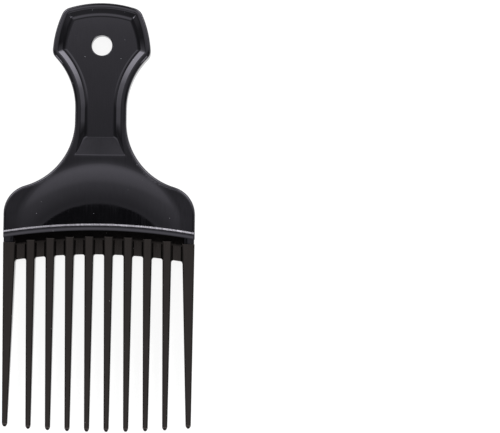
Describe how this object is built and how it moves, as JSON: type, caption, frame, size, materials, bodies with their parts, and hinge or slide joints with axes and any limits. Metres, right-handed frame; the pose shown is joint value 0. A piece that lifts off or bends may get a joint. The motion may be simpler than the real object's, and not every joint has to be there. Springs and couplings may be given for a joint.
{
  "type": "afro pick",
  "caption": "Afro hair pick with a flat waisted handle, recessed grip panels and a hang hole, and a push-in comb of long tapered teeth.",
  "frame": {"origin": "on the surface that the pick's back lies on, under the middle of its length and width", "axes": "+X across the width, +Y along the length from the tooth tips to the top of the handle, +Z out of the front face"},
  "size_m": [0.0758, 0.17, 0.0094],
  "materials": {
    "handle_plastic": "polished black injection moulding",
    "comb_plastic": "black injection moulding, a little duller than the handle"
  },
  "bodies": {
    "root": {"handle": "handle_plastic", "tooth_comb": "comb_plastic"}
  },
  "joints": []
}
